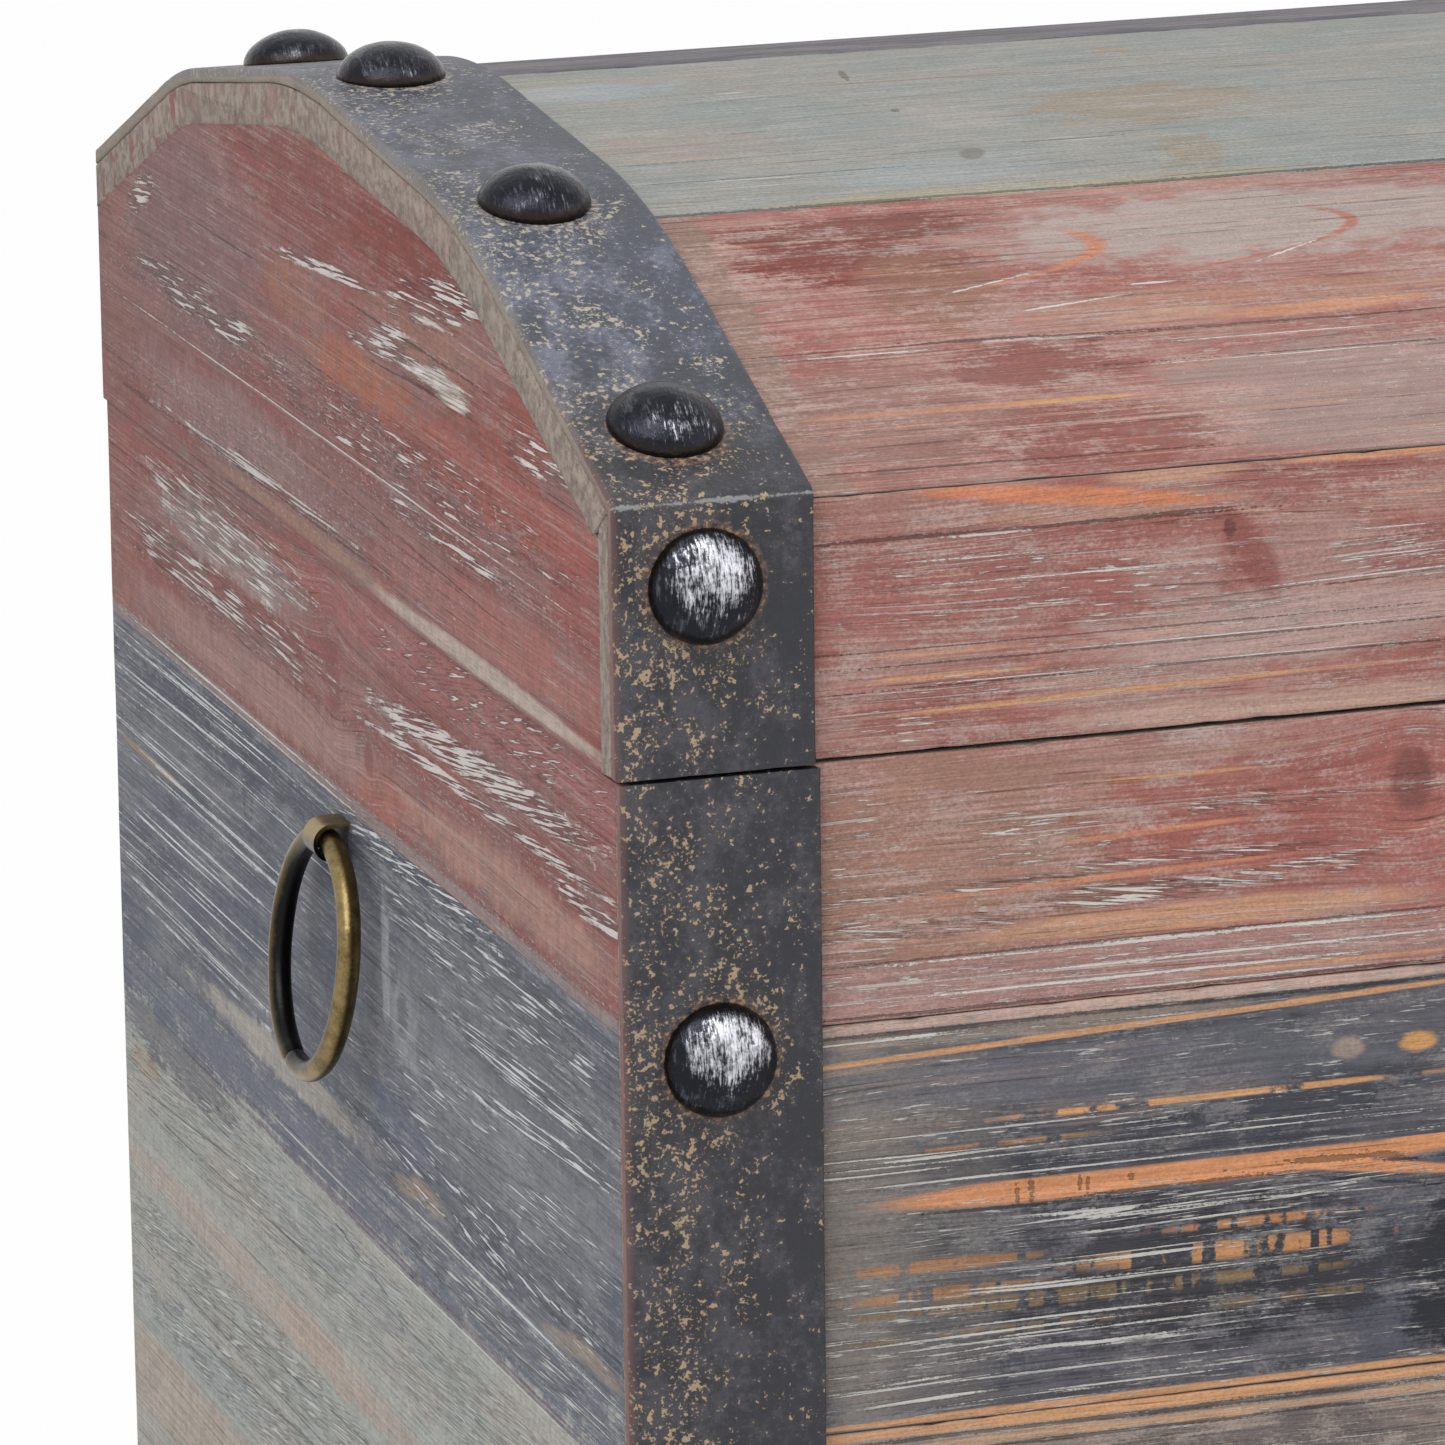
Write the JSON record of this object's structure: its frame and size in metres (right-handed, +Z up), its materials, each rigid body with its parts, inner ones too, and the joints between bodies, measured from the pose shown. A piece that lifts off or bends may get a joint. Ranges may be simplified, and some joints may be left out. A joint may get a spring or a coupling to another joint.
{
  "type": "wooden storage trunk",
  "caption": "Domed wooden storage trunk of worn painted planks with painted straps, round-headed nails, ring handles on both ends and a hinged lid held open by a slotted stay.",
  "frame": {"origin": "on the floor, under the middle of the whole trunk's length and depth", "axes": "+Z up, the front faces -Y, +X runs along the front to the right, hinge line along X at the back"},
  "size_m": [0.6892, 0.4378, 0.4099],
  "materials": {
    "red_wood": "worn red wash on brushed softwood",
    "navy_wood": "worn blue-black wash on brushed softwood",
    "sage_wood": "worn grey-green wash on brushed softwood",
    "brown_wood": "worn brown stain on brushed softwood",
    "bare_wood": "sawn softwood, unfinished",
    "strap_board": "thin bent board, painted like old iron, with bare tan edges",
    "iron_nail": "black lacquered iron, brushed to silver on top",
    "antique_brass": "darkened brass",
    "zinc_steel": "zinc-plated steel"
  },
  "bodies": {
    "body": {"end_left_board_1": "red_wood", "end_left_board_2": "navy_wood", "end_left_board_3": "sage_wood", "end_left_board_4": "sage_wood", "end_left_board_5": "sage_wood", "end_right_board_1": "red_wood", "end_right_board_2": "navy_wood", "end_right_board_3": "sage_wood", "end_right_board_4": "sage_wood", "end_right_board_5": "sage_wood", "front_plank_1": "red_wood", "front_plank_2": "navy_wood", "front_plank_3": "brown_wood", "front_plank_4": "sage_wood", "back_plank_1": "red_wood", "back_plank_2": "navy_wood", "back_plank_3": "brown_wood", "back_plank_4": "sage_wood", "floor_board_1": "bare_wood", "floor_board_2": "bare_wood", "floor_board_3": "bare_wood", "floor_cleat_front": "bare_wood", "corner_post_front_left": "bare_wood", "corner_post_front_right": "bare_wood", "floor_cleat_back": "bare_wood", "corner_post_back_left": "bare_wood", "corner_post_back_right": "bare_wood", "body_strap_left": "strap_board", "body_nails_left": "iron_nail", "ring_eye_left": "antique_brass", "hinge_body_leaf_left": "zinc_steel", "hinge_pin_left": "zinc_steel", "body_strap_right": "strap_board", "body_nails_right": "iron_nail", "ring_eye_right": "antique_brass", "hinge_body_leaf_right": "zinc_steel", "hinge_pin_right": "zinc_steel", "hinge_body_screws": "zinc_steel", "lid_stay_stud": "zinc_steel"},
    "lid": {"lid_end_left": "red_wood", "lid_end_right": "red_wood", "lid_stave_1": "red_wood", "lid_stave_2": "sage_wood", "lid_stave_3": "navy_wood", "lid_stave_4": "red_wood", "lid_front_rail": "red_wood", "lid_back_rail": "red_wood", "lid_strap_left": "strap_board", "lid_strap_right": "strap_board", "lid_nails_left": "iron_nail", "lid_nails_right": "iron_nail", "hinge_lid_leaf_left": "zinc_steel", "hinge_lid_leaf_right": "zinc_steel", "hinge_lid_screws": "zinc_steel", "lid_stay_pivot": "zinc_steel"},
    "ring_left": {"ring_handle_left": "antique_brass"},
    "ring_right": {"ring_handle_right": "antique_brass"},
    "stay_arm": {"lid_stay_arm": "zinc_steel"}
  },
  "joints": [
    {"name": "lid_hinge", "type": "hinge", "parent": "body", "child": "lid", "pos_m": [0, 0.2149, 0.2904], "axis": [-1, 0, 0], "range_deg": [0, 95]},
    {"name": "ring_left_swing", "type": "hinge", "parent": "body", "child": "ring_left", "pos_m": [-0.3343, -0.00015, 0.2275], "axis": [0, 1, 0], "range_deg": [-9, 172]},
    {"name": "ring_right_swing", "type": "hinge", "parent": "body", "child": "ring_right", "pos_m": [0.3343, -0.00015, 0.2275], "axis": [0, -1, 0], "range_deg": [-9, 172]},
    {"name": "lid_stay_swing", "type": "hinge", "parent": "lid", "child": "stay_arm", "pos_m": [-0.315, 0.11831, 0.31628], "axis": [-1, 0, 0], "range_deg": [-47.6, 0.1]}
  ],
  "couplings": [
    {"joint": "lid_stay_swing", "follows": "lid_hinge", "ratio": -0.5}
  ]
}
